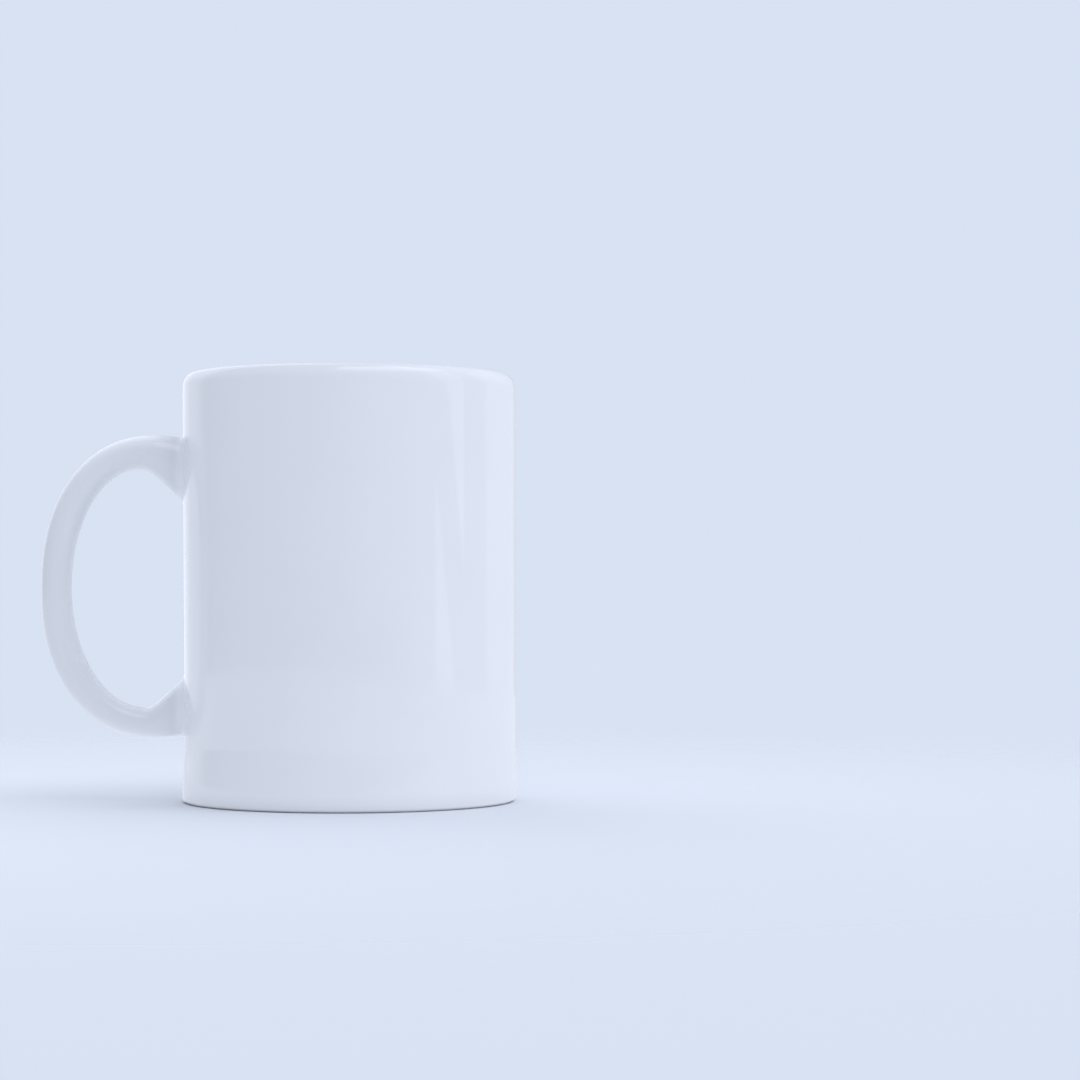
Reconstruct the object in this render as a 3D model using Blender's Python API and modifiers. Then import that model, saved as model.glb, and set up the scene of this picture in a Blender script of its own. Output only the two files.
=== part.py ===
"""White ceramic mug with a C-shaped handle, in the clay and glaze pieces it is made from.

The mug stands on the XY plane with the bowl's axis vertical and the handle towards -X. The
origin is the middle of the whole footprint, so the bowl's axis lies a little way along +X.
Every radius is measured from the bowl's axis and every height from the table, in metres.
"""

import math

import bmesh
import bpy
from mathutils import Vector

MM = 0.001

# Rim and bowl
MUG_HEIGHT = 110.3 * MM
RIM_RADIUS = 43.0 * MM
LIP_RADIUS = 40.5 * MM
OUTER_LIP_ROUND = 2.5 * MM
INNER_LIP_ROUND = 1.9 * MM
BOWL_FLOOR = 6.5 * MM
BOWL_BASE_RADIUS = 38.0 * MM
BOWL_CORNER_ROUND = 9.0 * MM

# Outside of the wall from the lip down: height and radius of the glazed face
WALL_STATIONS = [
    (MUG_HEIGHT - OUTER_LIP_ROUND, RIM_RADIUS),
    (94.0 * MM, 42.92 * MM),
    (55.0 * MM, 42.8 * MM),
    (38.0 * MM, 42.75 * MM),
    (16.0 * MM, 42.65 * MM),
    (10.4 * MM, 42.75 * MM),
    (4.0 * MM, 42.9 * MM),
]

# Foot: the bare clay ring that stands on the table, and the recess inside it
GLAZE_LOWER_EDGE = 1.2 * MM
FOOT_CORNER_ROUND = 1.2 * MM
FOOT_INNER_RADIUS = 36.5 * MM
RECESS_RADIUS = 35.5 * MM
RECESS_DEPTH = 2.2 * MM
UNDERSIDE_GLAZE_RADIUS = 34.8 * MM

# Glaze skins, and the clearance that keeps neighbouring pieces apart
GLAZE = 0.3 * MM
GAP = 0.3 * MM
CLAY_DEPTH = GLAZE + GAP
OUTER_GLAZE_TOP_ANGLE = 68.0
INNER_GLAZE_END_ANGLE = 75.0

# Handle outline in the XZ plane, distances from the bowl's axis: the outside is one
# superellipse, and the finger hole is an upper and a lower half that meet at the grip
OUTER_CENTRE_REACH = 49.9 * MM
OUTER_CENTRE_HEIGHT = 55.5 * MM
OUTER_HALF_REACH = 29.2 * MM
OUTER_HALF_HEIGHT = 39.0 * MM
OUTER_POWER = 2.19
HOLE_REACH = 71.4 * MM
HOLE_MIDDLE_HEIGHT = 55.3 * MM
HOLE_POWER = 2.0

# Each half of the hole: reach of its apex, half height, and the slope and round of the web
# that runs from the apex to the wall
HOLE_HALVES = {
    1: {"apex": 53.9 * MM, "half_height": 30.3 * MM, "slope": 1.15, "round": 4.3 * MM},
    -1: {"apex": 52.5 * MM, "half_height": 31.0 * MM, "slope": 1.25, "round": 3.9 * MM},
}

# Handle section: a superellipse whose half width grows from the grip to the wall
SECTION_POWER = 2.3
GRIP_HALF_WIDTH = 5.25 * MM
ROOT_HALF_WIDTH = 7.0 * MM
HANDLE_START = 41.0 * MM

# Slip joints: a fillet of slip between the wall and each end of the handle
SLIP_ROUND = 1.2 * MM
SLIP_TOP = 0.7 * MM
HANDLE_CLEARANCE = SLIP_TOP + GAP

# Fineness of the curved surfaces
TURN_STEPS = 48
LIP_STEPS = 3
BOWL_CORNER_STEPS = 4
FOOT_CORNER_STEPS = 3
SWING_STEPS = 8
ROOT_STEPS = 5
SECTION_POINTS = 16
CUT_OVERSHOOT = 2.0 * MM
MERGE_DISTANCE = 0.01 * MM

# The footprint runs from the handle's tip to the rim, and its middle is the origin
HANDLE_REACH = OUTER_CENTRE_REACH + OUTER_HALF_REACH
AXIS_X = (HANDLE_REACH - RIM_RADIUS) / 2

COLOURS = {
    "clay": {"colour": (0.74, 0.70, 0.64, 1.0), "roughness": 0.85},
    "slip": {"colour": (0.80, 0.82, 0.86, 1.0), "roughness": 0.2},
    "glaze": {"colour": (0.82, 0.84, 0.88, 1.0), "roughness": 0.12},
}


def clear_scene():
    """Remove every object that the file holds."""
    for item in list(bpy.data.objects):
        bpy.data.objects.remove(item, do_unlink=True)


def new_collection(name):
    """Collection linked to the scene."""
    collection = bpy.data.collections.new(name)
    bpy.context.scene.collection.children.link(collection)
    return collection


def material(name, finish):
    """Principled material of one of the mug's finishes."""
    item = bpy.data.materials.new(name)
    item.use_nodes = True
    shader = item.node_tree.nodes["Principled BSDF"]
    shader.inputs["Base Color"].default_value = COLOURS[finish]["colour"]
    shader.inputs["Roughness"].default_value = COLOURS[finish]["roughness"]
    shader.inputs["Metallic"].default_value = 0.0
    return item


def add_object(name, mesh, collection, axis):
    """Object with its origin on the bowl's axis."""
    item = bpy.data.objects.new(name, mesh)
    item.parent = axis
    collection.objects.link(item)
    return item


def arc(centre, radius, start, end, steps):
    """Points of an arc as (radius, height); angles in degrees, 0 outwards and 90 upwards."""
    points = []
    for step in range(steps + 1):
        angle = math.radians(start + (end - start) * step / steps)
        points.append((centre[0] + radius * math.cos(angle), centre[1] + radius * math.sin(angle)))
    return points


def outer_lip(depth, start, end):
    """Outside of the lip, a depth under the glazed face."""
    centre = (LIP_RADIUS, MUG_HEIGHT - OUTER_LIP_ROUND)
    return arc(centre, OUTER_LIP_ROUND - depth, start, end, LIP_STEPS)


def bowl_side(depth):
    """Bowl from the middle of its floor, up its wall and onto the top of the lip."""
    floor = [(0.0, BOWL_FLOOR - depth)]
    corner_centre = (BOWL_BASE_RADIUS - BOWL_CORNER_ROUND, BOWL_FLOOR + BOWL_CORNER_ROUND)
    corner = arc(corner_centre, BOWL_CORNER_ROUND + depth, -90.0, 0.0, BOWL_CORNER_STEPS)
    lip_centre = (LIP_RADIUS, MUG_HEIGHT - INNER_LIP_ROUND)
    lip = arc(lip_centre, INNER_LIP_ROUND - depth, 180.0, 90.0, LIP_STEPS)
    return floor + corner + lip


def wall_side(depth):
    """Outer wall from just under the lip down to the last station."""
    return [(radius - depth, height) for height, radius in WALL_STATIONS[1:]]


def clay_profile():
    """Whole section of the fired clay, from the bowl's floor round to the recess underneath."""
    clay_radius = WALL_STATIONS[-1][1] - CLAY_DEPTH
    corner_centre = (clay_radius - FOOT_CORNER_ROUND, FOOT_CORNER_ROUND)
    corner = arc(corner_centre, FOOT_CORNER_ROUND, 0.0, -90.0, FOOT_CORNER_STEPS)
    recess = [(FOOT_INNER_RADIUS, 0.0), (RECESS_RADIUS, RECESS_DEPTH), (0.0, RECESS_DEPTH)]
    lip = outer_lip(CLAY_DEPTH, 90.0, 0.0)[1:]
    return bowl_side(CLAY_DEPTH) + lip + wall_side(CLAY_DEPTH) + corner + recess


def outer_glaze_profile():
    """Glazed face of the outside, from the joint on the lip to its edge above the foot."""
    lower_radius = WALL_STATIONS[-1][1]
    return outer_lip(0.0, OUTER_GLAZE_TOP_ANGLE, 0.0) + wall_side(0.0) + [(lower_radius, GLAZE_LOWER_EDGE)]


def inner_glaze_profile():
    """Glazed face of the bowl and of the rim, as far as the joint on the lip."""
    return bowl_side(0.0) + outer_lip(0.0, 90.0, INNER_GLAZE_END_ANGLE)[1:]


def underside_glaze_profile():
    """Thin disc of glaze that hangs just under the recess."""
    top = RECESS_DEPTH - GAP
    edge = [(UNDERSIDE_GLAZE_RADIUS, top), (UNDERSIDE_GLAZE_RADIUS, top - GLAZE)]
    return [(0.0, top)] + edge + [(0.0, top - GLAZE)]


def wall_solid_profile(offset):
    """Solid block of the outer wall, grown by an offset."""
    wall = [(radius + offset, height) for height, radius in WALL_STATIONS]
    return [(0.0, wall[0][1])] + wall + [(0.0, wall[-1][1])]


def turned(name, profile, collection, axis):
    """Object turned from a profile, closed at both ends where they lie on the axis."""
    mesh = bpy.data.meshes.new(name)
    edges = [(index, index + 1) for index in range(len(profile) - 1)]
    mesh.from_pydata([(radius, 0.0, height) for radius, height in profile], edges, [])
    item = add_object(name, mesh, collection, axis)
    screw = item.modifiers.new("Turn", "SCREW")
    screw.steps = TURN_STEPS
    screw.render_steps = TURN_STEPS
    screw.use_merge_vertices = True
    screw.merge_threshold = MERGE_DISTANCE
    screw.use_smooth_shade = True
    return item


def superellipse(angle, power):
    """Point of a unit superellipse at an angle in radians."""
    cosine, sine = math.cos(angle), math.sin(angle)
    across = math.copysign(abs(cosine) ** (2 / power), cosine)
    along = math.copysign(abs(sine) ** (2 / power), sine)
    return across, along


def outer_edge(angle, side):
    """Reach and height of the handle's outside; angle 0 at the grip, a right angle at an apex."""
    across, along = superellipse(angle, OUTER_POWER)
    reach = OUTER_CENTRE_REACH + OUTER_HALF_REACH * across
    height = OUTER_CENTRE_HEIGHT + side * OUTER_HALF_HEIGHT * along
    return reach, height


def outer_edge_at(reach, side):
    """Height of the handle's outside between an apex and the wall."""
    inwards = (OUTER_CENTRE_REACH - reach) / OUTER_HALF_REACH
    rise = (1.0 - abs(inwards) ** OUTER_POWER) ** (1 / OUTER_POWER)
    return OUTER_CENTRE_HEIGHT + side * OUTER_HALF_HEIGHT * rise


def hole_edge(angle, side):
    """Reach and height of the finger hole's edge from the grip to an apex."""
    half = HOLE_HALVES[side]
    across, along = superellipse(angle, HOLE_POWER)
    reach = half["apex"] + (HOLE_REACH - half["apex"]) * across
    height = HOLE_MIDDLE_HEIGHT + side * half["half_height"] * along
    return reach, height


def hole_edge_at(reach, side):
    """Height of the finger hole's edge between an apex and the wall."""
    half = HOLE_HALVES[side]
    inwards = half["apex"] - reach
    fall = half["slope"] * (math.hypot(inwards, half["round"]) - half["round"])
    return HOLE_MIDDLE_HEIGHT + side * (half["half_height"] - fall)


def half_width(progress):
    """Half width of the handle, whose progress is 0 at the grip, 1 at an apex and 2 at the wall."""
    return GRIP_HALF_WIDTH + (ROOT_HALF_WIDTH - GRIP_HALF_WIDTH) * (progress / 2) ** 2


def swing_section(progress, side):
    """Section of the handle between the grip and an apex: outer point, hole point, half width."""
    angle = progress * math.pi / 2
    return outer_edge(angle, side), hole_edge(angle, side), half_width(progress)


def root_section(outer_reach, hole_reach, side):
    """Section of the handle between an apex and the wall."""
    progress = 1.0 + (OUTER_CENTRE_REACH - outer_reach) / (OUTER_CENTRE_REACH - RIM_RADIUS)
    outer = (outer_reach, outer_edge_at(outer_reach, side))
    hole = (hole_reach, hole_edge_at(hole_reach, side))
    return outer, hole, half_width(progress)


def upright_section(reach, side):
    """Section of the handle in an upright plane."""
    return root_section(reach, reach, side)


def section_ring(section, inset=0.0, growth=0.0):
    """Ring of points round a section, drawn in by an inset or grown outwards."""
    outer, hole, width = section
    top = Vector((-outer[0], 0.0, outer[1]))
    bottom = Vector((-hole[0], 0.0, hole[1]))
    centre = (top + bottom) / 2
    half_thickness = (top - bottom) / 2
    thickness_change = (growth - inset) * half_thickness.normalized()
    ring = []
    for index in range(SECTION_POINTS):
        across, along = superellipse(2 * math.pi * index / SECTION_POINTS, SECTION_POWER)
        sideways = Vector((0.0, (width + growth - inset) * across, 0.0))
        ring.append(centre + sideways + (half_thickness + thickness_change) * along)
    return ring


def root_sections(side):
    """Sections from inside the wall to just short of an apex."""
    apex = HOLE_HALVES[side]["apex"]
    sections = [upright_section(HANDLE_START, side)]
    for step in range(ROOT_STEPS):
        share = step / ROOT_STEPS
        outer_reach = RIM_RADIUS + (OUTER_CENTRE_REACH - RIM_RADIUS) * share
        hole_reach = RIM_RADIUS + (apex - RIM_RADIUS) * share
        sections.append(root_section(outer_reach, hole_reach, side))
    return sections


def swing_sections(side, first):
    """Sections from the grip, or the step after it, round to an apex."""
    return [swing_section(step / SWING_STEPS, side) for step in range(first, SWING_STEPS + 1)]


def handle_sections():
    """Sections of the whole handle, from the wall at the top round to the wall at the bottom."""
    upper = root_sections(1) + swing_sections(1, 0)[::-1]
    lower = swing_sections(-1, 1) + root_sections(-1)[::-1]
    return upper + lower


def loft(name, rings, collection, axis, capped):
    """Object whose skin joins a row of rings, with or without end caps."""
    shape = bmesh.new()
    rows = [[shape.verts.new(point) for point in ring] for ring in rings]
    count = len(rings[0])
    for row, following in zip(rows, rows[1:]):
        for index in range(count):
            nearby = (index + 1) % count
            shape.faces.new((row[index], row[nearby], following[nearby], following[index]))
    if capped:
        shape.faces.new(rows[0][::-1])
        shape.faces.new(rows[-1])
    bmesh.ops.recalc_face_normals(shape, faces=shape.faces)
    mesh = bpy.data.meshes.new(name)
    shape.to_mesh(mesh)
    shape.free()
    mesh.shade_smooth()
    return add_object(name, mesh, collection, axis)


def boolean(item, cutter, operation):
    """Cut an object with a cutter, or keep only what lies inside it."""
    cut = item.modifiers.new(cutter.name, "BOOLEAN")
    cut.operation = operation
    cut.object = cutter
    cut.solver = "EXACT"


def skin(item):
    """Give an open glazed face its thickness, inwards."""
    shell = item.modifiers.new("Glaze thickness", "SOLIDIFY")
    shell.thickness = GLAZE
    shell.offset = -1.0
    shell.use_even_offset = True


def hide_cutter(item):
    """Mark an object as a guide that is not part of the mug."""
    item.hide_render = True
    item.display_type = "WIRE"


def wall_cutter(name, offset, cutters, axis):
    """Cutter with the shape of the outer wall, grown by an offset."""
    item = turned(name, wall_solid_profile(offset), cutters, axis)
    hide_cutter(item)
    return item


def slip_growth(offset):
    """How far a slip fillet spreads round the handle at a distance from the wall."""
    if offset <= 0.0:
        return SLIP_ROUND
    if offset >= SLIP_ROUND:
        return 0.0
    return SLIP_ROUND - math.sqrt(SLIP_ROUND ** 2 - (SLIP_ROUND - offset) ** 2)


def wrap_to_wall(ring, offset):
    """Slide a ring's points along X onto the wall's curve, at an offset from it."""
    radius = RIM_RADIUS + offset
    return [Vector((-math.sqrt(radius ** 2 - point.y ** 2), point.y, point.z)) for point in ring]


def slip_rings(side):
    """Rings of a slip fillet, from inside the wall out past its top."""
    steps = [-CUT_OVERSHOOT, 0.0, 0.15 * SLIP_ROUND, 0.35 * SLIP_ROUND, SLIP_TOP, CUT_OVERSHOOT]
    rings = []
    for offset in steps:
        section = upright_section(RIM_RADIUS + min(max(offset, 0.0), SLIP_TOP), side)
        ring = section_ring(section, growth=slip_growth(offset))
        rings.append(wrap_to_wall(ring, offset))
    return rings


def window_rings(side):
    """Straight sleeve that clears a slip fillet through the outer glaze."""
    ring = section_ring(upright_section(RIM_RADIUS, side), growth=SLIP_ROUND + GAP)
    reaches = (HANDLE_START - CUT_OVERSHOOT, OUTER_CENTRE_REACH)
    return [[Vector((-reach, point.y, point.z)) for point in ring] for reach in reaches]


def make_bowl(parts, axis):
    """Turned clay body with the bowl, the wall and the foot."""
    body = turned("mug_body", clay_profile(), parts, axis)
    body.data.materials.append(material("fired_clay", "clay"))


def make_bowl_glazes(parts, cutters, axis):
    """Glaze skins of the outside, the bowl and the recess underneath."""
    outer = turned("outer_glaze", outer_glaze_profile(), parts, axis)
    skin(outer)
    for name, side in (("upper_window", 1), ("lower_window", -1)):
        window = loft(name, window_rings(side), cutters, axis, capped=True)
        hide_cutter(window)
        boolean(outer, window, "DIFFERENCE")
    outer.data.materials.append(material("outer_glaze_white", "glaze"))
    inner = turned("inner_glaze", inner_glaze_profile(), parts, axis)
    skin(inner)
    inner.data.materials.append(material("inner_glaze_white", "glaze"))
    underside = turned("underside_glaze", underside_glaze_profile(), parts, axis)
    underside.data.materials.append(material("underside_glaze_white", "glaze"))


def make_handle(parts, cutters, axis):
    """Clay handle and the glaze skin round it, both trimmed to stand off the wall."""
    trim = wall_cutter("handle_trim", HANDLE_CLEARANCE, cutters, axis)
    sections = handle_sections()
    core_rings = [section_ring(section, inset=CLAY_DEPTH) for section in sections]
    core = loft("handle", core_rings, parts, axis, capped=True)
    boolean(core, trim, "DIFFERENCE")
    core.data.materials.append(material("handle_clay", "clay"))
    glaze = loft("handle_glaze", [section_ring(section) for section in sections], parts, axis, capped=False)
    skin(glaze)
    boolean(glaze, trim, "DIFFERENCE")
    glaze.data.materials.append(material("handle_glaze_white", "glaze"))


def make_slip_joints(parts, cutters, axis):
    """Fillets of slip that stick the ends of the handle to the wall."""
    seat = wall_cutter("slip_seat", -GLAZE, cutters, axis)
    top = wall_cutter("slip_top", SLIP_TOP, cutters, axis)
    for name, side in (("upper_slip_joint", 1), ("lower_slip_joint", -1)):
        joint = loft(name, slip_rings(side), parts, axis, capped=True)
        boolean(joint, seat, "DIFFERENCE")
        boolean(joint, top, "INTERSECT")
        joint.data.materials.append(material(name + "_white", "slip"))


def main():
    """Build the mug."""
    clear_scene()
    parts = new_collection("Ceramic mug")
    cutters = new_collection("Cutters")
    axis = bpy.data.objects.new("Bowl axis", None)
    axis.location = (AXIS_X, 0.0, 0.0)
    parts.objects.link(axis)
    make_bowl(parts, axis)
    make_bowl_glazes(parts, cutters, axis)
    make_handle(parts, cutters, axis)
    make_slip_joints(parts, cutters, axis)


main()
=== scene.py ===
"""Blank white ceramic mug: fired clay, slip joints and gloss glaze, in a pale studio.

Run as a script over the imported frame, it models the mug's pieces, gives each its finish and
sets the floor, the light and the camera. Sizes are in metres. The bowl's axis is vertical, the
handle points towards -X and the mug stands on the XY plane.
"""

import math

import bmesh
import bpy
from bpy.props import FloatProperty, FloatVectorProperty, IntProperty, PointerProperty
from bpy.types import Operator, Panel, PropertyGroup
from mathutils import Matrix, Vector


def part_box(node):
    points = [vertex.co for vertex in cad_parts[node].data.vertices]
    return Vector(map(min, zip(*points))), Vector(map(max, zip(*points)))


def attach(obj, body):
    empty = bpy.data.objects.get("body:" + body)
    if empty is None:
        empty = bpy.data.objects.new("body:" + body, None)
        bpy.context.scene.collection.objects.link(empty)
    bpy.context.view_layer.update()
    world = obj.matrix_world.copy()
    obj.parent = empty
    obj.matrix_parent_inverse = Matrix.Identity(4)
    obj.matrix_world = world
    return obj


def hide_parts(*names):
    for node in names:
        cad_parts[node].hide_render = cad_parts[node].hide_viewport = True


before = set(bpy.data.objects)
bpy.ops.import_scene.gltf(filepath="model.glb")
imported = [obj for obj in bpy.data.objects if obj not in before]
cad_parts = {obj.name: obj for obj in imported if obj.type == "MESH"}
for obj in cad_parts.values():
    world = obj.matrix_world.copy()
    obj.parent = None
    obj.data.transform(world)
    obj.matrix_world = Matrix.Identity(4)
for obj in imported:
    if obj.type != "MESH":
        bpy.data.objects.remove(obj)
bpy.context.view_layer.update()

bl_info = {
    "name": "Glazed ceramic mug",
    "version": (1, 0, 0),
    "blender": (4, 5, 0),
    "location": "View3D > Sidebar > Mug",
    "description": "Models a blank white mug with its clay, slip joints and glaze",
    "category": "Add Mesh",
}

MM = 0.001
BODY = "root"

# Clearance between the clay and its glaze
GLAZE_GAP = 0.02 * MM

# Chamfers of the bare foot ring and the angle in degrees where the glaze's bead ends
FOOT_CHAMFER = 0.25 * MM
FOOT_CHAMFER_RISE = 0.12 * MM
RECESS_CHAMFER_FALL = 0.15 * MM
BEAD_END = -75.0

# Edges flatter than this many degrees are shaded smooth
SMOOTH_ANGLE = 35.0

# Steps along the outlines of the turned pieces
WALL_STEPS = 24
FLARE_STEPS = 20
LIP_STEPS = 30
SEAM_STEPS = 8
INSIDE_ROUND_STEPS = 22
INSIDE_WALL_STEPS = 16
FLOOR_STEPS = 6
FOOT_ROUND_STEPS = 14
RECESS_ROUND_STEPS = 12

# Fillet radii over which the handle's ends bend onto the wall
HUG_REACH = 5.0

# Noise of the finishes, in cycles per metre
MOTTLE_SCALE = 38.0
RIPPLE_SCALE = 60.0
PEEL_SCALE = 520.0
GLOSS_SCALE = 900.0
CLOUD_SCALE = 90.0
SAND_SCALE = 2600.0

# Glaze: its mottle, orange peel and waviness, and the spread of its roughness
MOTTLE_BAND = (0.35, 0.75)
MOTTLE = 0.1
PEEL = 0.008
WAVE_DEPTH = 0.055 * MM
GLOSS_SPREAD = 0.03
GLAZE_IOR = 1.5
COAT_ROUGHNESS = 0.03

# Waviness of each coat of glaze
WALL_WAVES = 0.1
BOWL_WAVES = 0.4
RECESS_WAVES = 0.8
HANDLE_WAVES = 0.4

# Heights between which the glaze pools or thins, distances from the wall at the handle's
# roots, and how far its white changes there
FOOT_POOL = (1.0 * MM, 5.0 * MM)
FOOT_POOLING = 0.25
FLOOR_POOL = (6.0 * MM, 22.0 * MM)
FLOOR_POOLING = 0.7
# Painted shade: the handle's roots darken partly as pooled glaze and partly as painted shade where the
# handle meets the wall
ROOT_POOL_AND_SHADE = (6.0 * MM, 0.2 * MM)
ROOT_POOLING_AND_SHADE = 0.35
# Painted shade: distances from the wall over which the handle's darker, painted-shade white fades into
# the wall's white
HANDLE_SHADE_FADE = (2.5 * MM, 0.1 * MM)
# Painted shade: the lip's darker white is partly thin glaze and partly painted shade that tones down the
# lip's brightness
RIM_EDGE = (2.2 * MM, 0.2 * MM)
RIM_THINNING_AND_SHADE = 0.7

# Clay: its sand and clouding, and how the table has polished the foot ring
SAND_BAND = (0.55, 0.72)
SAND_SHARE = 0.7
SAND_DEPTH = 0.06 * MM
CLOUD_BAND = (0.4, 0.7)
CLOUD_SHARE = 0.3
CLAY_ROUGHNESS = 0.9
POLISHED_HEIGHT = (0.05 * MM, 0.4 * MM)
POLISH = 0.25

# Studio floor: its disc, where it fades out and how far it shades the foot
STAGE_RADIUS = 9.0
STAGE_STEPS = 128
STAGE_FADE = (0.09, 0.42)
FOOT_SHADE = 3.0 * MM

# Upright strips of the surround: azimuths where each starts and ends, the widths of its soft
# edges and its slant for a rise of one, all in degrees
RIGHT_PANEL = {"low": 107.0, "high": 180.0, "rise": 3.0, "fall": 42.0, "slant": 20.0}
LEFT_PANEL = {"low": -179.0, "high": -112.0, "rise": 10.0, "fall": 20.0}
LEFT_TOP = {"low": -165.0, "high": -60.0, "rise": 30.0, "fall": 30.0}
BLADES = {"low": 60.0, "high": 85.5, "rise": 1.0, "fall": 1.0}
BLADE_GAP = {"low": 68.0, "high": 86.5, "rise": 1.5, "fall": 1.5, "slant": 217.0}
KEY = {"low": -15.0, "high": 110.0, "rise": 6.0, "fall": 35.0}

# Heights of a unit direction between which each light of the surround comes or goes
LEFT_TOP_START = (0.10, 0.45)
LEFT_TOP_END = (0.45, 0.85)
KEY_START = (0.60, 0.84)
KEY_END = (0.95, 0.99)
OVERHEAD_START = (0.35, 0.95)
OVERHEAD_TILT = 0.25
BEHIND_START = (0.75, 0.97)
BEHIND_END = (0.35, 0.6)
HORIZON = (-0.039, -0.036)
TABLE_BAND = (-0.15, -0.60)

# Share of a direction's two level parts that counts towards the bright side
DIAGONAL = 0.707

# Driving sizes, read from the frame's own pieces
WALL_LOW, WALL_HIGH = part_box("outer_glaze")
RIM_LOW, RIM_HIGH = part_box("inner_glaze")
GRIP_LOW, GRIP_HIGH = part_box("handle_glaze")
RECESS_LOW, RECESS_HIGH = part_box("underside_glaze")
AXIS_X = (WALL_LOW.x + WALL_HIGH.x) / 2
RIM_RADIUS = (WALL_HIGH.y - WALL_LOW.y) / 2
MUG_HEIGHT = RIM_HIGH.z
GRIP_REACH = AXIS_X - GRIP_LOW.x
GRIP_MIDDLE = (GRIP_LOW.z + GRIP_HIGH.z) / 2
GRIP_HALF_HEIGHT = (GRIP_HIGH.z - GRIP_LOW.z) / 2
RECESS_GLAZE_RADIUS = (RECESS_HIGH.x - RECESS_LOW.x) / 2


def length(name, description, default):
    """Property that holds a size in metres."""
    return FloatProperty(name=name, description=description, default=default, unit="LENGTH",
                         precision=5)


def share(name, description, default):
    """Property that holds a plain number."""
    return FloatProperty(name=name, description=description, default=default, precision=3)


def colour(name, description, default):
    """Property that holds a linear colour."""
    return FloatVectorProperty(name=name, description=description, default=default, size=3,
                               subtype="COLOR", min=0.0, max=1.0)


def count(name, description, default):
    """Property that holds a whole number of steps."""
    return IntProperty(name=name, description=description, default=default, min=3)


class MugBowlSettings(PropertyGroup):
    """Sizes of the bowl, its wall and its foot."""

    rim_radius: length("Rim radius", "Outside radius at the lip", RIM_RADIUS)
    height: length("Height", "Height from the table to the top of the rim", MUG_HEIGHT)
    outer_lip: length("Outer lip round", "Round on the outside of the lip", 2.5 * MM)
    lip_fall: length("Outer lip fall", "Height over which the outside of the lip rounds off", 3.9 * MM)
    inner_lip: length("Inner lip round", "Round on the inside of the lip", 1.9 * MM)
    taper: length("Taper", "How much the radius loses from the lip to the table", 0.41 * MM)
    foot_flare: length("Foot flare", "How much the wall widens again at the foot", 0.3 * MM)
    flare_top: length("Flare top", "Height where the wall starts to widen", 16.0 * MM)
    flare_bottom: length("Flare bottom", "Height where the wall stops widening", 3.0 * MM)
    draw_in: share("Draw in", "Share of the narrowing that is moved to the handle's side", 1.0)
    floor_height: length("Floor height", "Height of the bowl's glazed floor", 6.5 * MM)
    base_radius: length("Base radius", "Inside radius at the bottom of the bowl's wall", 38.0 * MM)
    bowl_corner: length("Bowl corner", "Round between the bowl's floor and wall", 9.0 * MM)
    bead: length("Glaze bead", "Round of the glaze's lower edge above the foot", 0.6 * MM)
    bead_height: length("Bead height", "Height where the glaze starts to roll under", 0.85 * MM)
    foot_corner: length("Foot corner", "Round on the outside of the bare foot ring", 0.7 * MM)
    foot_inner: length("Foot inner radius", "Inside radius of the bare foot ring", 36.5 * MM)
    recess_radius: length("Recess radius", "Radius of the recess inside the foot ring", 35.5 * MM)
    recess_depth: length("Recess depth", "Depth of the recess under the mug", 2.2 * MM)
    around: count("Steps around", "Steps around the turned pieces", 256)


class MugHandleSettings(PropertyGroup):
    """Outline and section of the handle, measured from the bowl's axis."""

    reach: length("Reach", "Distance from the axis to the outside of the grip", GRIP_REACH)
    middle: length("Middle height", "Height of the handle's middle", GRIP_MIDDLE)
    half_height: length("Half height", "Half the handle's outside height", GRIP_HALF_HEIGHT)
    apex_reach: length("Apex reach", "Distance from the axis to the top of the outside curve", 49.9 * MM)
    outer_power: share("Outside squareness", "Power of the outside superellipse", 2.19)
    grip: length("Grip thickness", "Thickness of the handle at its grip", 7.7 * MM)
    hole_middle: length("Hole middle", "Height of the finger hole's middle", 55.3 * MM)
    upper_apex: length("Upper hole apex", "Distance from the axis to the top of the hole", 53.9 * MM)
    upper_half: length("Upper hole height", "Height of the hole above its middle", 30.3 * MM)
    upper_slope: share("Upper web slope", "Slope of the hole's edge down to the wall", 1.15)
    upper_round: length("Upper web round", "Round between the hole's top and that slope", 4.3 * MM)
    lower_apex: length("Lower hole apex", "Distance from the axis to the bottom of the hole", 52.5 * MM)
    lower_half: length("Lower hole height", "Depth of the hole below its middle", 31.0 * MM)
    lower_slope: share("Lower web slope", "Slope of the hole's edge up to the wall", 1.25)
    lower_round: length("Lower web round", "Round between the hole's bottom and that slope", 3.9 * MM)
    grip_half_width: length("Grip half width", "Half the handle's width at its grip", 5.0 * MM)
    root_half_width: length("Root half width", "Half the handle's width at the wall", 7.0 * MM)
    section_power: share("Section squareness", "Power of the section's superellipse", 2.2)
    fillet: length("Fillet", "Round between the handle and the wall", 1.0 * MM)
    around: count("Steps around", "Steps around the handle's section", 64)
    swing_steps: count("Swing steps", "Steps from the grip to an apex", 44)
    root_steps: count("Root steps", "Steps from an apex to the fillet", 22)
    fillet_steps: count("Fillet steps", "Steps round the fillet", 9)


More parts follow.
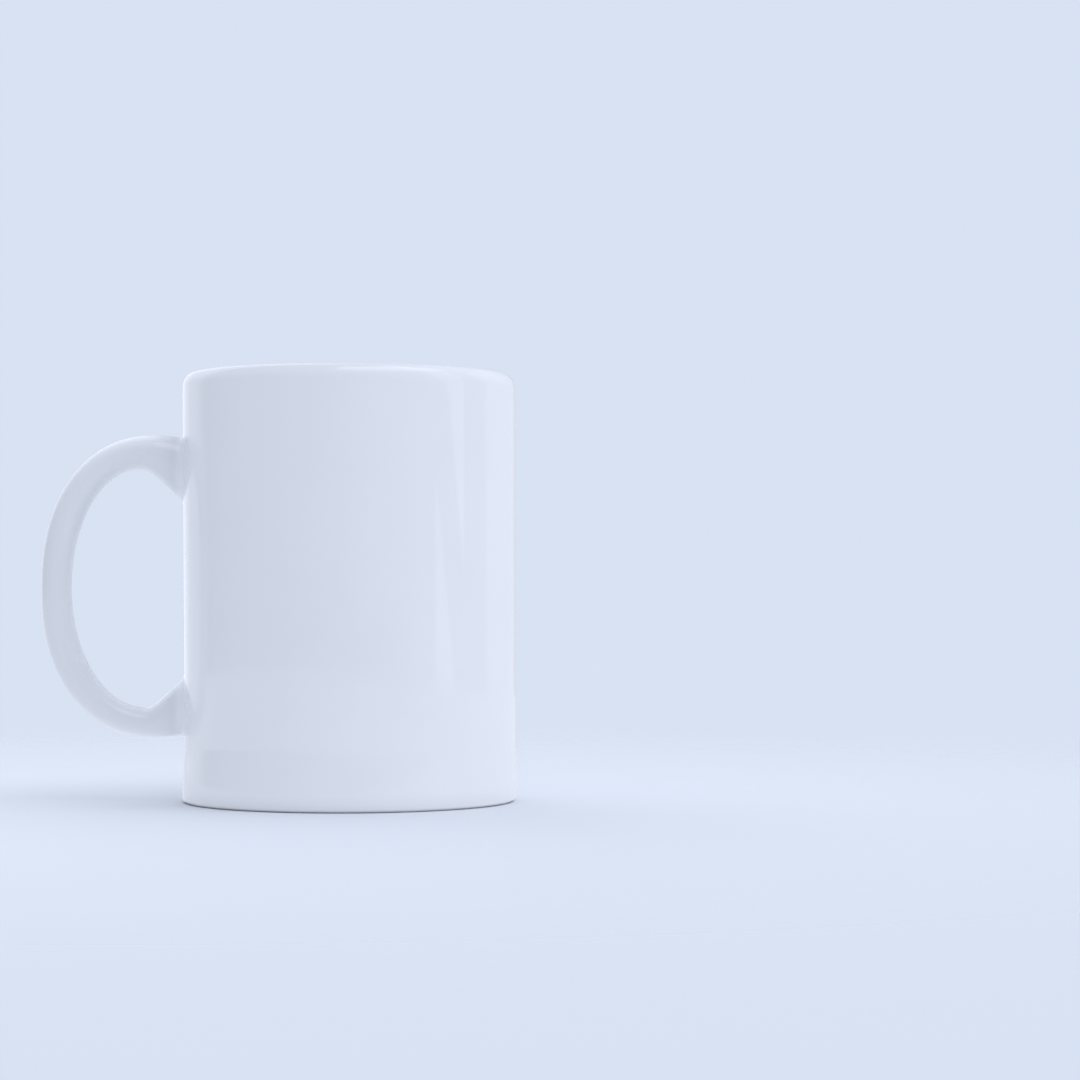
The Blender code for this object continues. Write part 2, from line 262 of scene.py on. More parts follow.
class MugGlazeSettings(PropertyGroup):
    """Look and thickness of the glaze."""

    thickness: length("Thickness", "Thickness of the glaze", 0.28 * MM)
    joint_angle: share("Joint angle", "Angle on the lip where the two coats of glaze meet", 70.0)
    white: colour("White", "Body of the glaze", (0.83, 0.85, 0.885))
    # Pooled white: the colour of thick glaze, also used as the painted shade at the handle's roots
    pooled_and_shaded: colour("Pooled white", "Glaze where it lies thickest", (0.66, 0.68, 0.72))
    # Thin white: partly the thin glaze's own colour and partly painted shade on the lip
    thin_shaded_white: colour("Thin white", "Glaze where it is thinnest, over an edge", (0.70, 0.712, 0.735))
    # Painted shade: the handle's white is a darker copy of the wall's glaze white, standing in for the
    # shade on the handle
    handle_shaded_white: colour("Handle white", "Body of the glaze on the handle", (0.77, 0.787, 0.822))
    roughness: share("Roughness", "Roughness of the gloss", 0.04)
    coat: share("Print coat", "Weight of the clear coat that takes a print", 0.25)


class MugClaySettings(PropertyGroup):
    """Look of the bare fired clay and of the slip."""

    clay: colour("Clay", "Fired white stoneware", (0.62, 0.58, 0.52))
    grain: colour("Grain", "Darker grain in the fired clay", (0.50, 0.46, 0.40))
    slip: colour("Slip", "Fired slip of the joints", (0.70, 0.68, 0.64))


class MugStudioSettings(PropertyGroup):
    """Camera, backdrop and light."""

    distance: length("Camera distance", "Distance from the camera to the bowl's axis", 743.0 * MM)
    eye_height: length("Camera height", "Height of the camera above the table", 54.9 * MM)
    lens: FloatProperty(name="Lens", description="Focal length in millimetres", default=95.3)
    yaw: share("Yaw", "Degrees the camera is turned to its right of the axis", 3.815)
    pitch: share("Pitch", "Degrees the camera is tilted up", 0.974)
    backdrop: colour("Backdrop", "Colour of the pale backdrop", (0.685, 0.76, 0.89))
    floor: colour("Floor", "Colour of the pale floor", (0.70, 0.73, 0.77))
    tint: colour("Light tint", "Colour of the studio's light", (0.847, 0.892, 1.0))
    dark_level: share("Dark level", "Brightness of the studio's dim side", 0.43)
    bright_level: share("Bright level", "Brightness of the studio's bright side", 0.67)
    right_panel: share("Right panel", "Broad upright panel on the right", 0.36)
    left_panel: share("Left panel", "Upright panel behind on the left", 0.55)
    left_top: share("Left top", "Raised soft light on the left", 0.2)
    blades: share("Blades", "Narrow strip of light that tapers in two places", 0.65)
    key: share("Key", "High main light at the right front", 1.6)
    overhead: share("Overhead", "Light above the mug", 0.52)
    behind: share("Behind", "Low light behind the mug", 0.22)
    table_level: share("Table level", "Brightness of the pale table just below the horizon", 0.94)
    table_gain: share("Table gain", "Brightness that the table gains close to the mug", 0.15)


GROUPS = {
    "mug_bowl": MugBowlSettings,
    "mug_handle": MugHandleSettings,
    "mug_glaze": MugGlazeSettings,
    "mug_clay": MugClaySettings,
    "mug_studio": MugStudioSettings,
}


# Modelling by operators


def start_ring(name, steps, centre, radius, upright=False):
    """Add a ring of points, lying flat or facing along X, and open it for editing."""
    bpy.ops.object.select_all(action="DESELECT")
    turn = (0.0, math.pi / 2, 0.0) if upright else (0.0, 0.0, 0.0)
    bpy.ops.mesh.primitive_circle_add(vertices=steps, radius=radius, location=centre, rotation=turn)
    piece = bpy.context.object
    piece.name = name
    piece.data.name = name
    bpy.ops.object.transform_apply(location=True, rotation=True, scale=True)
    bpy.ops.object.mode_set(mode="EDIT")
    bpy.ops.mesh.select_all(action="SELECT")
    return piece


def draw_out(shift):
    """Extrude the selected ring by a shift."""
    bpy.ops.mesh.extrude_region_move(TRANSFORM_OT_translate={"value": tuple(shift)})


def size_ring(factors, centre):
    """Scale the selected ring about a point."""
    bpy.ops.transform.resize(value=factors, orient_type="GLOBAL", center_override=tuple(centre))


def turn_ring(angle, centre):
    """Turn the selected ring about a point, right-handed about +Y."""
    bpy.ops.transform.rotate(value=-angle, orient_axis="Y", orient_type="GLOBAL",
                             center_override=tuple(centre))


def close_editing():
    """Merge doubled points, face the surface outwards and leave edit mode."""
    bpy.ops.mesh.select_all(action="SELECT")
    bpy.ops.mesh.remove_doubles(threshold=0.0001 * MM)
    bpy.ops.mesh.normals_make_consistent(inside=False)
    bpy.ops.object.mode_set(mode="OBJECT")


def thicken(piece, thickness):
    """Give an open surface its thickness, inwards from the face."""
    shell = piece.modifiers.new("Thickness", "SOLIDIFY")
    shell.thickness = thickness
    shell.offset = -1.0
    shell.use_even_offset = True
    bpy.ops.object.modifier_apply(modifier=shell.name)


def finish_piece(piece, material, nodes):
    """Shade a piece, dress it and tie it to the frame."""
    bpy.ops.object.shade_smooth_by_angle(angle=math.radians(SMOOTH_ANGLE))
    piece.data.materials.clear()
    piece.data.materials.append(material)
    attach(piece, BODY)
    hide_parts(*nodes)


def turned_surface(name, rings, steps):
    """Draw a ring out along (radius, height, centre shift) stations about the bowl's axis."""
    radius, height, shift = rings[0]
    piece = start_ring(name, steps, (AXIS_X + shift, 0.0, height), radius)
    for next_radius, next_height, next_shift in rings[1:]:
        draw_out((next_shift - shift, 0.0, next_height - height))
        centre = (AXIS_X + next_shift, 0.0, next_height)
        if next_radius > 0.0:
            size_ring((next_radius / radius, next_radius / radius, 1.0), centre)
        else:
            bpy.ops.mesh.merge(type="CENTER")
        radius, height, shift = next_radius, next_height, next_shift
    return piece


# Outline of the bowl


def arc(centre, radius, start, end, steps):
    """Points of an arc as (radius, height); angles in degrees, 0 outwards and 90 upwards."""
    points = []
    for step in range(steps + 1):
        angle = math.radians(start + (end - start) * step / steps)
        points.append((centre[0] + radius * math.cos(angle), centre[1] + radius * math.sin(angle)))
    return points


def spread(start, end, steps):
    """Even steps from a start, which is left out, to an end."""
    return [start + (end - start) * step / steps for step in range(1, steps + 1)]


def smooth(low, high, value):
    """Smooth step from 0 at low to 1 at high."""
    place = min(max((value - low) / (high - low), 0.0), 1.0)
    return place * place * (3.0 - 2.0 * place)


def wall_radius(bowl, height):
    """Radius of the glazed wall at a height."""
    lip_base = bowl.height - bowl.lip_fall
    narrowing = bowl.taper * max(lip_base - height, 0.0) / lip_base
    widening = bowl.foot_flare * (1.0 - smooth(bowl.flare_bottom, bowl.flare_top, height))
    return bowl.rim_radius - narrowing + widening


def wall_shift(bowl, height):
    """How far the wall's ring sits away from under the handle at a height."""
    return bowl.draw_in * (bowl.rim_radius - wall_radius(bowl, height))


def wall_points(bowl, depth):
    """Outside of the wall from under the lip to the bead, a depth under the glazed face."""
    top = bowl.height - bowl.lip_fall
    heights = spread(top, bowl.flare_top, WALL_STEPS)
    heights += spread(bowl.flare_top, bowl.bead_height, FLARE_STEPS)
    return [(wall_radius(bowl, height) - depth, height) for height in heights]


def outer_lip(bowl, depth, start, end, steps=LIP_STEPS):
    """Outside of the lip, taller than it is wide, a depth under the glazed face."""
    reach, rise = bowl.outer_lip, bowl.lip_fall
    centre = (bowl.rim_radius - reach, bowl.height - rise)
    points = []
    for step in range(steps + 1):
        angle = math.radians(start + (end - start) * step / steps)
        out, up = rise * math.cos(angle), reach * math.sin(angle)
        slope = math.hypot(out, up)
        points.append((centre[0] + reach * math.cos(angle) - depth * out / slope,
                       centre[1] + rise * math.sin(angle) - depth * up / slope))
    return points


def inside_points(bowl, depth):
    """Bowl from the middle of its floor up its wall and onto the top of the lip."""
    corner_centre = (bowl.base_radius - bowl.bowl_corner, bowl.floor_height + bowl.bowl_corner)
    corner = arc(corner_centre, bowl.bowl_corner + depth, -90.0, 0.0, INSIDE_ROUND_STEPS)
    lip_centre = (bowl.rim_radius - bowl.outer_lip, bowl.height - bowl.inner_lip)
    lip = arc(lip_centre, bowl.inner_lip - depth, 180.0, 90.0, INSIDE_ROUND_STEPS)
    radii = spread(corner[-1][0], lip[0][0], INSIDE_WALL_STEPS)
    heights = spread(corner[-1][1], lip[0][1], INSIDE_WALL_STEPS)
    wall = list(zip(radii, heights))[:-1]
    floor_radius, floor_height = corner[0]
    floor = [(radius, floor_height) for radius in spread(0.0, floor_radius, FLOOR_STEPS)[:-1]]
    return [(0.0, floor_height)] + floor + corner + wall + lip


def with_shift(bowl, points):
    """Add the wall's lean to outline points, strongest low down and none at the lip."""
    return [(radius, height, wall_shift(bowl, height)) for radius, height in points]


def seam_points(points, bite=0.02):
    """Shorten the last step of an outline, so that the surface ends square to its own curve."""
    (radius, height), (end_radius, end_height) = points[-2:]
    near = (end_radius + (radius - end_radius) * bite, end_height + (height - end_height) * bite)
    return points[:-1] + [near, points[-1]]


# Outline of the handle


def superellipse(angle, power):
    """Point of a unit superellipse at an angle in radians."""
    cosine, sine = math.cos(angle), math.sin(angle)
    across = math.copysign(abs(cosine) ** (2 / power), cosine)
    along = math.copysign(abs(sine) ** (2 / power), sine)
    return across, along


def hole_half(handle, side):
    """Apex reach, half height, slope and round of the upper (1) or lower (-1) half of the hole."""
    if side > 0:
        return handle.upper_apex, handle.upper_half, handle.upper_slope, handle.upper_round
    return handle.lower_apex, handle.lower_half, handle.lower_slope, handle.lower_round


def half_width(handle, progress):
    """Half width of the handle, whose progress is 0 at the grip, 1 at an apex and 2 at the wall."""
    widening = handle.root_half_width - handle.grip_half_width
    return handle.grip_half_width + widening * (progress / 2) ** 2


def section(handle, outer, hole, progress, growth=0.0):
    """Centre, lean, half thickness and half width of a section between an outer and a hole point."""
    outer_point = Vector((AXIS_X - outer[0], 0.0, outer[1]))
    hole_point = Vector((AXIS_X - hole[0], 0.0, hole[1]))
    across = outer_point - hole_point
    lean = math.atan2(across.x, across.z)
    if lean > math.pi / 2:
        lean -= 2 * math.pi
    centre = (outer_point + hole_point) / 2
    return centre, lean, across.length / 2 + growth, half_width(handle, progress) + growth


def swing_section(handle, progress, side):
    """Section between the grip (0) and an apex (1)."""
    angle = progress * math.pi / 2
    across, along = superellipse(angle, handle.outer_power)
    outer_reach = handle.apex_reach + (handle.reach - handle.apex_reach) * across
    outer = (outer_reach, handle.middle + side * handle.half_height * along)
    apex, half_height, _, _ = hole_half(handle, side)
    hole_reach = apex + (handle.reach - handle.grip - apex) * math.cos(angle)
    hole = (hole_reach, handle.hole_middle + side * half_height * math.sin(angle))
    return section(handle, outer, hole, progress)


def root_section(handle, rim_radius, outer_reach, hole_reach, side, growth=0.0):
    """Section between an apex and the wall."""
    apex, half_height, slope, web_round = hole_half(handle, side)
    inwards = (handle.apex_reach - outer_reach) / (handle.reach - handle.apex_reach)
    rise = (1.0 - abs(inwards) ** handle.outer_power) ** (1 / handle.outer_power)
    fall = slope * (math.hypot(apex - hole_reach, web_round) - web_round)
    outer = (outer_reach, handle.middle + side * handle.half_height * rise)
    hole = (hole_reach, handle.hole_middle + side * (half_height - fall))
    progress = 1.0 + (handle.apex_reach - outer_reach) / (handle.apex_reach - rim_radius)
    return section(handle, outer, hole, progress, growth)


def root_sections(handle, rim_radius, start, side):
    """Sections from a start beyond the wall to just short of an apex."""
    apex = hole_half(handle, side)[0]
    sections = []
    for step in range(handle.root_steps):
        along = step / handle.root_steps
        outer_reach = start + (handle.apex_reach - start) * along
        hole_reach = start + (apex - start) * along
        sections.append(root_section(handle, rim_radius, outer_reach, hole_reach, side))
    return sections


def fillet_sections(handle, rim_radius, side, depth=0.0):
    """Sections of the fillet, from the wall out to where the handle's own surface starts."""
    sections = []
    for step in range(handle.fillet_steps):
        angle = math.pi / 2 * step / handle.fillet_steps
        offset = handle.fillet * (1.0 - math.cos(angle))
        growth = handle.fillet * (1.0 - math.sin(angle)) - depth
        reach = rim_radius + offset
        sections.append(root_section(handle, rim_radius, reach, reach, side, growth))
    return sections


def swing_sections(handle, side, first):
    """Sections from the grip, or the step after it, round to an apex."""
    steps = handle.swing_steps
    return [swing_section(handle, step / steps, side) for step in range(first, steps + 1)]


def handle_sections(handle, rim_radius, start, depth):
    """Sections of the whole handle from the upper root to the lower one, drawn in by a depth."""
    upper = root_sections(handle, rim_radius, start, 1) + swing_sections(handle, 1, 0)[::-1]
    lower = swing_sections(handle, -1, 1) + root_sections(handle, rim_radius, start, -1)[::-1]
    return [(centre, lean, thick - depth, wide - depth) for centre, lean, thick, wide in upper + lower]


def shape_ring(piece, power):
    """Square up the round starting ring into the section's superellipse."""
    mesh = bmesh.from_edit_mesh(piece.data)
    centre = sum((point.co for point in mesh.verts), Vector()) / len(mesh.verts)
    for point in mesh.verts:
        offset = point.co - centre
        across, along = superellipse(math.atan2(offset.z, offset.y), power)
        point.co = centre + Vector((0.0, across, along))
    bmesh.update_edit_mesh(piece.data)


def drawn_bar(name, handle, sections):
    """Draw a section ring out along the sections of a bar, turning and sizing it at each one."""
    centre, lean, thick, wide = sections[0]
    piece = start_ring(name, handle.around, centre, 1.0, upright=True)
    shape_ring(piece, handle.section_power)
    size_ring((1.0, wide, thick), centre)
    turn_ring(lean, centre)
    for next_centre, next_lean, next_thick, next_wide in sections[1:]:
        draw_out(next_centre - centre)
        turn_ring(-lean, next_centre)
        size_ring((1.0, next_wide / wide, next_thick / thick), next_centre)
        turn_ring(next_lean, next_centre)
        centre, lean, thick, wide = next_centre, next_lean, next_thick, next_wide
    return piece


def cap_ends():
    """Fill the open ends of the bar that is being edited."""
    bpy.ops.mesh.select_all(action="DESELECT")
    bpy.ops.mesh.select_non_manifold()
    bpy.ops.mesh.edge_face_add()


def hug_wall(piece, bowl, fillet):
    """Bend the ends of a bar from a flat seat onto the round, leaning wall."""
    for point in piece.data.vertices:
        clear = AXIS_X - bowl.rim_radius - point.co.x
        weight = 1.0 - smooth(fillet, HUG_REACH * fillet, clear)
        if weight > 0.0:
            radius = wall_radius(bowl, point.co.z)
            wall = wall_shift(bowl, point.co.z) - math.sqrt(radius ** 2 - point.co.y ** 2)
            point.co.x += weight * (wall + bowl.rim_radius)
    piece.data.update()


# Finishes


class Value:
    """Shader socket that adds its own maths nodes when it is used in an expression."""

    def __init__(self, graph, socket):
        self.graph = graph
        self.socket = socket

    def maths(self, operation, *others):
        """Join this value and others with a maths node."""
        inputs = {index: other for index, other in enumerate((self,) + others)}
        return self.graph.value("Math", {"operation": operation}, inputs)

    def __add__(self, other):
        return self.maths("ADD", other)

    def __mul__(self, other):
        return self.maths("MULTIPLY", other)

    def __sub__(self, other):
        return self.maths("SUBTRACT", other)

    def __rsub__(self, other):
        return self.graph.value("Math", {"operation": "SUBTRACT"}, {0: other, 1: self})


class Graph:
    """Node tree of a finish, built one node at a time."""

    def __init__(self, tree):
        self.tree = tree
        self.tree.nodes.clear()

    def node(self, kind, settings, inputs):
        """Add a node, give it its settings, then the values or links of its sockets."""
        item = self.tree.nodes.new("ShaderNode" + kind)
        for name, value in settings.items():
            setattr(item, name, value)
        for name, value in inputs.items():
            source = value.socket if isinstance(value, Value) else value
            if isinstance(source, bpy.types.NodeSocket):
                self.tree.links.new(source, item.inputs[name])
            else:
                item.inputs[name].default_value = source
        return item

    def value(self, kind, settings, inputs, output=0):
        """Add a node and wrap one of its outputs."""
        return Value(self, self.node(kind, settings, inputs).outputs[output])

    def noise(self, place, scale, detail=2.0, roughness=0.5):
        """Noise whose scale is in cycles per metre."""
        inputs = {"Vector": place, "Scale": scale, "Detail": detail, "Roughness": roughness}
        return self.value("TexNoise", {}, inputs)

    def between(self, value, low, high):
        """Smooth step of a value from 0 at low to 1 at high."""
        inputs = {"Value": value, "From Min": low, "From Max": high}
        return self.value("MapRange", {"interpolation_type": "SMOOTHSTEP"}, inputs)

    def blend(self, factor, first, second):
        """Mix of two colours."""
        settings = {"data_type": "RGBA", "blend_type": "MIX"}
        pair = {6: solid(first), 7: solid(second)}
        return self.value("Mix", settings, {0: factor, **pair}, output=2)


def solid(shade):
    """Colour with full alpha, or a link as it is."""
    return shade if isinstance(shade, Value) else (*shade, 1.0)


def new_finish(name):
    """Material with an empty graph."""
    material = bpy.data.materials.new(name)
    material.use_nodes = True
    return material, Graph(material.node_tree)


def object_place(graph):
    """Object coordinates and their parts, measured from the bowl's axis."""
    coordinates = graph.value("TexCoord", {}, {}, output="Object")
    centred = graph.value("Mapping", {"vector_type": "POINT"}, {"Vector": coordinates,
                                                               "Location": (-AXIS_X, 0.0, 0.0)})
    parts = graph.node("SeparateXYZ", {}, {"Vector": centred})
    return centred, Value(graph, parts.outputs["X"]), Value(graph, parts.outputs["Z"])


def glaze_finish(name, glaze, waviness, pooling_and_shade, edging, whites=None, coat=0.0):
    """Cool white gloss glaze that pools darker and turns to a second white along its edge; on the handle
    and the lip the darker whites are partly painted shade.
    """
    body_white, edge_white = whites or (glaze.white, glaze.thin_shaded_white)
    material, graph = new_finish(name)
    place, across, height = object_place(graph)
    mottle = graph.noise(place, MOTTLE_SCALE, detail=3.0)
    pooled_and_shaded = graph.between(mottle, *MOTTLE_BAND) * MOTTLE + pooling_and_shade(graph, across, height)
    body = graph.blend(pooled_and_shaded, body_white, glaze.pooled_and_shaded)
    shade = graph.blend(edging(graph, across, height), body, edge_white)
    ripple = graph.noise(place, RIPPLE_SCALE, detail=1.0)
    peel = graph.noise(place, PEEL_SCALE)
    swell = ripple * waviness + peel * PEEL
    bump = graph.node("Bump", {}, {"Height": swell, "Strength": 1.0, "Distance": WAVE_DEPTH})
    gloss = graph.noise(place, GLOSS_SCALE) * GLOSS_SPREAD + (glaze.roughness - GLOSS_SPREAD / 2)
    inputs = {
        "Base Color": shade,
        "Roughness": gloss,
        "IOR": GLAZE_IOR,
        "Coat Weight": coat,
        "Coat Roughness": COAT_ROUGHNESS,
        "Normal": Value(graph, bump.outputs["Normal"]),
    }
    shader = graph.node("BsdfPrincipled", {}, inputs)
    graph.node("OutputMaterial", {}, {"Surface": Value(graph, shader.outputs["BSDF"])})
    return material


def no_change(graph, across, height):
    """Glaze of even thickness."""
    return across * 0.0


def clay_finish(name, body, grain, polish):
    """Dry fired clay with a fine sandy grain, polished by a share where it meets the table."""
    material, graph = new_finish(name)
    place, _, height = object_place(graph)
    sand = graph.noise(place, SAND_SCALE, detail=3.0, roughness=0.7)
    cloud = graph.noise(place, CLOUD_SCALE)
    specks = graph.between(sand, *SAND_BAND) * SAND_SHARE
    specks = specks + graph.between(cloud, *CLOUD_BAND) * CLOUD_SHARE
    shade = graph.blend(specks, body, grain)
    worn = (1.0 - graph.between(height, *POLISHED_HEIGHT)) * polish
    bump = graph.node("Bump", {}, {"Height": sand, "Strength": 1.0, "Distance": SAND_DEPTH})
    inputs = {
        "Base Color": shade,
        "Roughness": CLAY_ROUGHNESS - worn * POLISH,
        "Normal": Value(graph, bump.outputs["Normal"]),
    }
    shader = graph.node("BsdfPrincipled", {}, inputs)
    graph.node("OutputMaterial", {}, {"Surface": Value(graph, shader.outputs["BSDF"])})
    return material


def wall_pooling(graph, across, height):
    """Glaze thickens into the bead above the foot."""
    return (1.0 - graph.between(height, *FOOT_POOL)) * FOOT_POOLING


def rim_thinning_and_shade(graph, across, height):
    """Glaze thins over the lip, and the lip is darkened further as painted shade."""
    start, end = RIM_EDGE
    return graph.between(height, MUG_HEIGHT - start, MUG_HEIGHT - end) * RIM_THINNING_AND_SHADE


def floor_pooling(graph, across, height):
    """Glaze thickens over the bowl's floor and corner."""
    return (1.0 - graph.between(height, *FLOOR_POOL)) * FLOOR_POOLING


def root_pooling_and_shade(graph, across, height):
    """Glaze thickens in the fillets at the wall, and the roots are darkened there as painted shade."""
    start, end = ROOT_POOL_AND_SHADE
    return graph.between(across, -(RIM_RADIUS + start), -(RIM_RADIUS + end)) * ROOT_POOLING_AND_SHADE


def handle_shade_fade(graph, across, height):
    """The handle's darker, painted-shade white fades into the wall's own white round the roots."""
    start, end = HANDLE_SHADE_FADE
    return graph.between(across, -(RIM_RADIUS + start), -(RIM_RADIUS + end))


# Operators


class MUG_OT_clay_body(Operator):
    """Model the fired clay of the bowl, its wall, foot ring and recess"""

    bl_idname = "mug.clay_body"
    bl_label = "Clay body"

    def execute(self, context):
        bowl, glaze, clay = context.scene.mug_bowl, context.scene.mug_glaze, context.scene.mug_clay
        depth = glaze.thickness + GLAZE_GAP
        wall = wall_points(bowl, depth)
        lip = outer_lip(bowl, depth, 90.0, 0.0)[1:]
        rings = with_shift(bowl, inside_points(bowl, depth)[1:] + lip + wall)
        corner_centre = (wall[-1][0] - bowl.foot_corner, bowl.foot_corner)
        foot = arc(corner_centre, bowl.foot_corner, 0.0, -90.0, FOOT_ROUND_STEPS)[1:]
        foot += [
            (bowl.foot_inner, 0.0),
            (bowl.foot_inner - FOOT_CHAMFER, FOOT_CHAMFER_RISE),
            (bowl.recess_radius + FOOT_CHAMFER, bowl.recess_depth - RECESS_CHAMFER_FALL),
            (bowl.recess_radius, bowl.recess_depth),
            (bowl.recess_radius / 2, bowl.recess_depth),
            (0.0, bowl.recess_depth),
        ]
        lean = wall_shift(bowl, 0.0)
        rings += [(radius, height, lean) for radius, height in foot]
        piece = turned_surface("clay_body", rings, bowl.around)
        cap_ends()
        close_editing()
        material = clay_finish("Fired clay", clay.clay, clay.grain, polish=1.0)
        finish_piece(piece, material, ["mug_body"])
        return {"FINISHED"}


class MUG_OT_wall_glaze(Operator):
    """Model the coat of glaze on the outside, from the lip to the bead above the foot"""

    bl_idname = "mug.wall_glaze"
    bl_label = "Wall glaze"

    def execute(self, context):
        bowl, glaze = context.scene.mug_bowl, context.scene.mug_glaze
        lip = outer_lip(bowl, 0.0, 0.0, glaze.joint_angle)
        wall = wall_points(bowl, 0.0)
        bead_centre = (wall[-1][0] - bowl.bead, bowl.bead_height)
        bead = arc(bead_centre, bowl.bead, 0.0, BEAD_END, FOOT_ROUND_STEPS)
        outline = seam_points(lip)[::-1] + wall + bead[1:]
        piece = turned_surface("wall_glaze", with_shift(bowl, outline), bowl.around)
        close_editing()
        thicken(piece, glaze.thickness)
        # The lip's darker white is partly thin glaze and partly painted shade
        material = glaze_finish("Wall glaze", glaze, WALL_WAVES, wall_pooling, rim_thinning_and_shade,
                                coat=glaze.coat)
        finish_piece(piece, material, ["outer_glaze"])
        return {"FINISHED"}


class MUG_OT_bowl_glaze(Operator):
    """Model the coat of glaze inside the bowl and over the rim"""

    bl_idname = "mug.bowl_glaze"
    bl_label = "Bowl glaze"

    def execute(self, context):
        bowl, glaze = context.scene.mug_bowl, context.scene.mug_glaze
        lip = seam_points(outer_lip(bowl, 0.0, 90.0, glaze.joint_angle, SEAM_STEPS)[1:])
        outline = (inside_points(bowl, 0.0) + lip)[::-1]
        piece = turned_surface("bowl_glaze", with_shift(bowl, outline), bowl.around)
        close_editing()
        thicken(piece, glaze.thickness)
        # The lip's darker white is partly thin glaze and partly painted shade
        material = glaze_finish("Bowl glaze", glaze, BOWL_WAVES, floor_pooling, rim_thinning_and_shade)
        finish_piece(piece, material, ["inner_glaze"])
        return {"FINISHED"}


class MUG_OT_recess_glaze(Operator):
    """Model the glaze inside the foot ring"""

    bl_idname = "mug.recess_glaze"
    bl_label = "Recess glaze"

    def execute(self, context):
        bowl, glaze = context.scene.mug_bowl, context.scene.mug_glaze
        top = bowl.recess_depth - GLAZE_GAP
        bottom = top - glaze.thickness
        edge_centre = (RECESS_GLAZE_RADIUS - glaze.thickness / 2, (top + bottom) / 2)
        edge = arc(edge_centre, glaze.thickness / 2, 90.0, -90.0, RECESS_ROUND_STEPS)
        outline = [(RECESS_GLAZE_RADIUS / 2, top)] + edge + [(RECESS_GLAZE_RADIUS / 2, bottom)]
        lean = wall_shift(bowl, 0.0)
        rings = [(radius, height, lean) for radius, height in outline]
        piece = turned_surface("recess_glaze", rings, bowl.around)
        cap_ends()
        close_editing()
        material = glaze_finish("Recess glaze", glaze, RECESS_WAVES, no_change, no_change)
        finish_piece(piece, material, ["underside_glaze"])
        return {"FINISHED"}


class MUG_OT_handle(Operator):
    """Model the clay handle and the coat of glaze round it, which runs out onto the wall"""

    bl_idname = "mug.handle"
    bl_label = "Handle"

    def execute(self, context):
        scene = context.scene
        bowl, handle, glaze, clay = scene.mug_bowl, scene.mug_handle, scene.mug_glaze, scene.mug_clay
        rim = bowl.rim_radius
        start = rim + handle.fillet
        depth = glaze.thickness + GLAZE_GAP
        core = drawn_bar("handle_clay", handle, handle_sections(handle, rim, start, depth))
        cap_ends()
        close_editing()
        hug_wall(core, bowl, handle.fillet)
        material = clay_finish("Handle clay", clay.clay, clay.grain, polish=0.0)
        finish_piece(core, material, ["handle"])
        upper = fillet_sections(handle, rim, 1)
        lower = fillet_sections(handle, rim, -1)[::-1]
        sections = upper + handle_sections(handle, rim, start, 0.0) + lower
        coat = drawn_bar("handle_coat", handle, sections)
        close_editing()
        hug_wall(coat, bowl, handle.fillet)
        thicken(coat, glaze.thickness)
        # The handle's glaze takes a darker white as painted shade, which fades into the wall's white at
        # the roots
        material = glaze_finish("Handle glaze", glaze, HANDLE_WAVES, root_pooling_and_shade, handle_shade_fade,
                                whites=(glaze.handle_shaded_white, glaze.white))
        finish_piece(coat, material, ["handle_glaze"])
        return {"FINISHED"}


class MUG_OT_slip_joints(Operator):
    """Model the pads of slip between the wall and the ends of the handle"""

    bl_idname = "mug.slip_joints"
    bl_label = "Slip joints"

    def execute(self, context):
        scene = context.scene
        bowl, handle, glaze, clay = scene.mug_bowl, scene.mug_handle, scene.mug_glaze, scene.mug_clay
        depth = glaze.thickness + GLAZE_GAP
        material = clay_finish("Slip", clay.slip, clay.clay, polish=0.0)
        joints = [("upper_slip", "upper_slip_joint", 1), ("lower_slip", "lower_slip_joint", -1)]
        for name, node, side in joints:
            sections = fillet_sections(handle, bowl.rim_radius, side, depth)
            pad = drawn_bar(name, handle, sections)
            cap_ends()
            close_editing()
            hug_wall(pad, bowl, handle.fillet)
            finish_piece(pad, material, [node])
        return {"FINISHED"}


class MUG_OT_stage(Operator):
    """Set the pale floor, the studio's light and the camera"""

    bl_idname = "mug.stage"
    bl_label = "Studio"

    def execute(self, context):
        studio = context.scene.mug_studio
        bpy.ops.object.select_all(action="DESELECT")
        bpy.ops.mesh.primitive_circle_add(vertices=STAGE_STEPS, radius=STAGE_RADIUS,
                                          location=(0.0, 0.0, 0.0), fill_type="NGON")
        floor = context.object
        floor.name = "studio_floor"
        floor.data.materials.append(floor_finish(studio))
        set_world(context.scene, studio)
        set_camera(context.scene, studio)
        context.scene.view_settings.view_transform = "Standard"
        return {"FINISHED"}


def floor_finish(studio):
    """Pale matt floor that fades out with distance; away from the foot only the camera sees it."""
    material, graph = new_finish("Studio floor")
    place = graph.value("TexCoord", {}, {}, output="Object")
    distance = graph.value("VectorMath", {"operation": "LENGTH"}, {0: place}, output="Value")
    centred = graph.value("Mapping", {}, {"Vector": place, "Location": (-AXIS_X, 0.0, 0.0)})
    off_axis = graph.value("VectorMath", {"operation": "LENGTH"}, {0: centred}, output="Value")
    seen = graph.value("LightPath", {}, {}, output="Is Camera Ray")
    far = graph.between(distance, *STAGE_FADE)
    clear = graph.between(off_axis, RIM_RADIUS, RIM_RADIUS + FOOT_SHADE) * (1.0 - seen)
    hidden = far + (1.0 - far) * clear
    near = graph.node("BsdfPrincipled", {}, {"Base Color": solid(studio.floor), "Roughness": 0.6,
                                             "Specular IOR Level": 0.2})
    beyond = graph.node("BsdfTransparent", {}, {})
    mixed = graph.node("MixShader", {}, {0: hidden, 1: Value(graph, near.outputs[0]),
                                         2: Value(graph, beyond.outputs[0])})
    graph.node("OutputMaterial", {}, {"Surface": Value(graph, mixed.outputs[0])})
    return material


